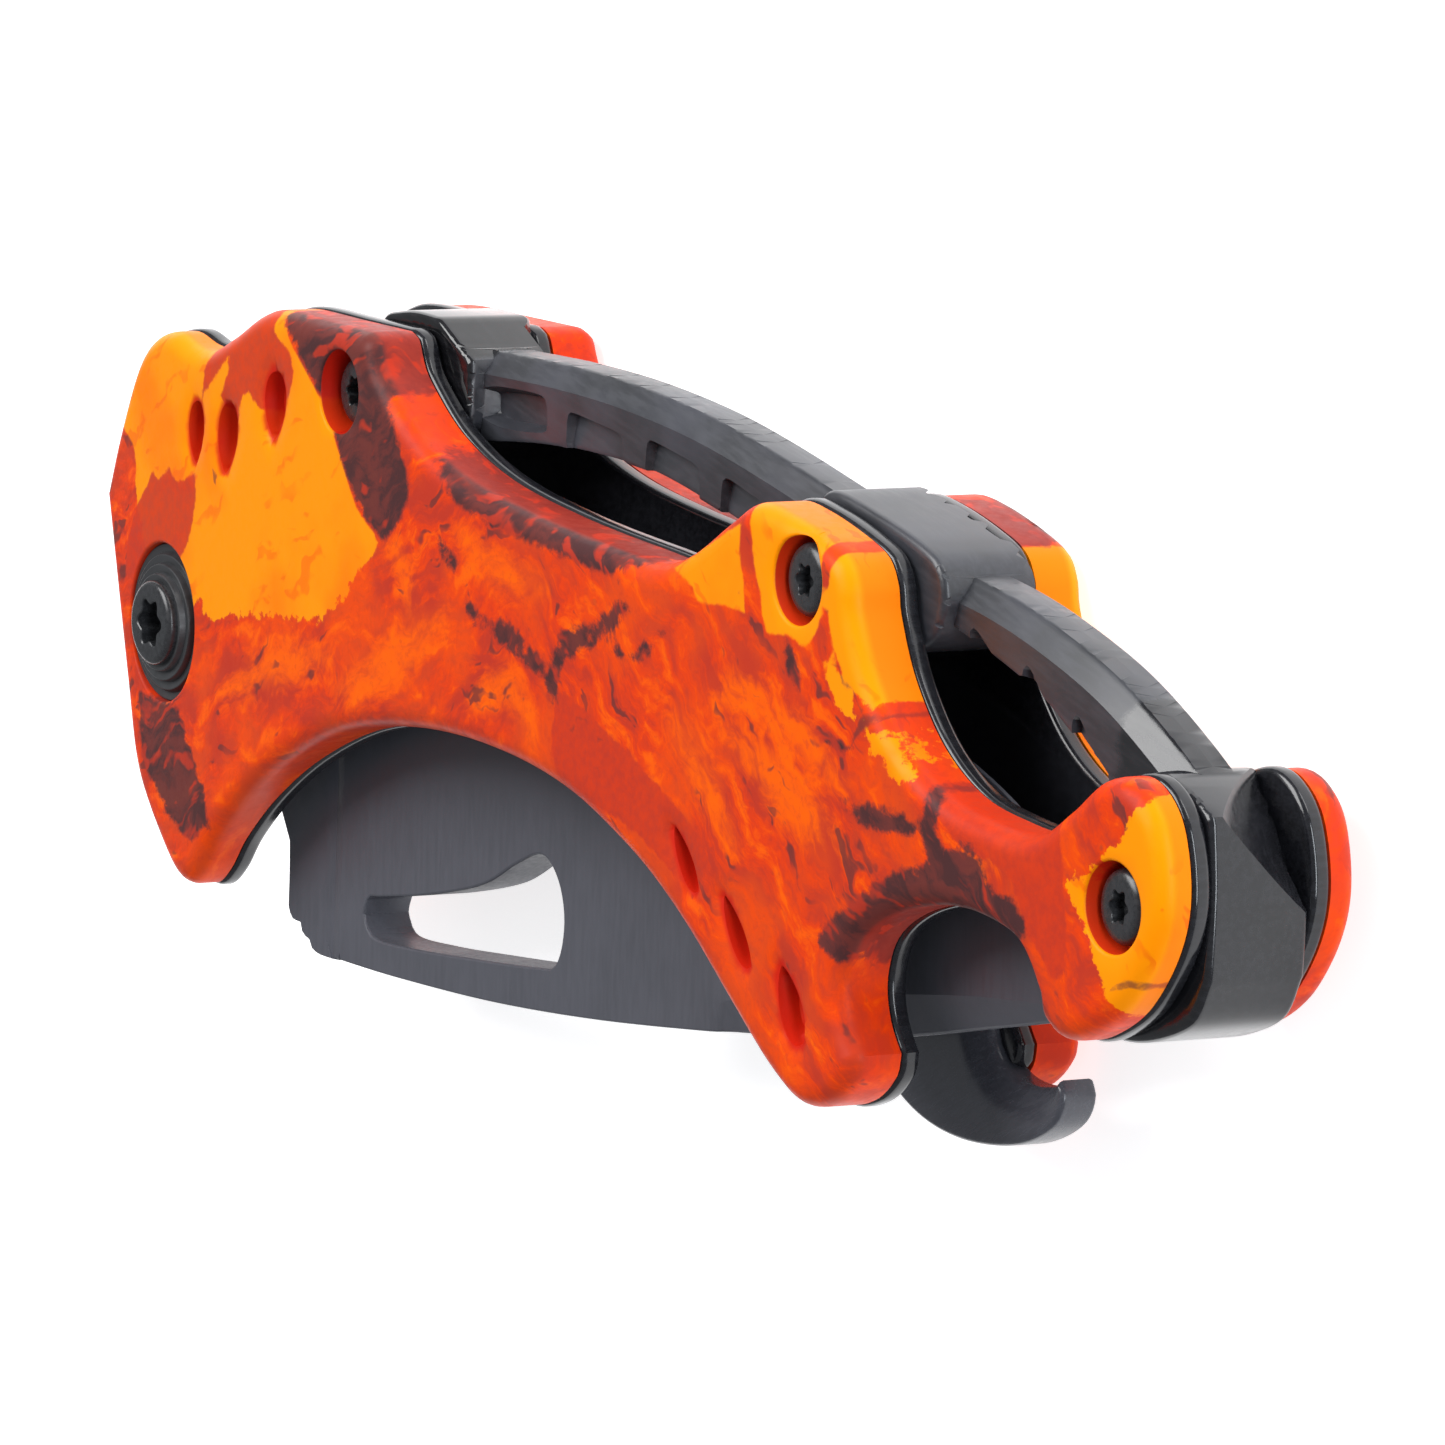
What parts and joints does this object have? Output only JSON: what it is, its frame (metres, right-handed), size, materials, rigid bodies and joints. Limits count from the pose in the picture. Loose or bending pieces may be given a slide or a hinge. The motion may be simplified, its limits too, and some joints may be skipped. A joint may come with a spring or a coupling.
{
  "type": "folding pocket knife with bottle opener",
  "caption": "Closed one-hand folding knife: domed handle scales on steel liners, slotted blade, arched back spacer, liner lock and a bottle-opener hook at the tail.",
  "frame": {"origin": "middle of the footprint, on the plane that the knife's back scale lies on", "axes": "+X from the pivot end to the tail, +Y from the blade's side to the spine of the handle, +Z from the back scale to the front scale"},
  "size_m": [0.123, 0.041, 0.0161],
  "materials": {
    "scale_print": "satin camouflage print in yellow-orange, red and grey-brown on aluminium, worn to deep red on the cut walls",
    "black_liner": "glossy black oxide",
    "dark_blade": "satin dark grey coating with fine brushing",
    "spacer": "satin black moulded",
    "black_screw": "satin black oxide",
    "bronze_washer": "bronze, turned",
    "bare_steel": "turned steel"
  },
  "bodies": {
    "handle": {"front_scale": "scale_print", "back_scale": "scale_print", "front_liner": "black_liner", "back_liner": "black_liner", "back_spacer": "spacer", "opener_hook": "black_liner", "opener_rivet_1": "bare_steel", "opener_rivet_2": "bare_steel", "pivot_cover_disc": "black_screw", "pivot_screw": "black_screw", "pivot_sleeve": "black_screw", "front_washer": "bronze_washer", "back_washer": "bronze_washer", "stop_pin": "bare_steel", "spacer_sleeve_1": "bare_steel", "front_screw_1": "black_screw", "back_screw_1": "black_screw", "spacer_sleeve_2": "bare_steel", "front_screw_2": "black_screw", "back_screw_2": "black_screw", "spacer_sleeve_3": "bare_steel", "front_screw_3": "black_screw", "back_screw_3": "black_screw"},
    "blade": {"blade": "dark_blade"},
    "lock_bar": {"lock_bar": "black_liner", "detent_ball": "bare_steel"}
  },
  "joints": [
    {"name": "blade_pivot", "type": "hinge", "parent": "handle", "child": "blade", "pos_m": [-0.05168, -0.00148, 0.00805], "axis": [0, 0, -1], "range_deg": [0, 180]},
    {"name": "lock_bar_flex", "type": "hinge", "parent": "handle", "child": "lock_bar", "pos_m": [0.00632, -0.00148, 0.00365], "axis": [0, -1, 0], "range_deg": [0, 1.3], "stiffness_Nm_per_rad": 0.5, "springref_deg": -3.44}
  ]
}
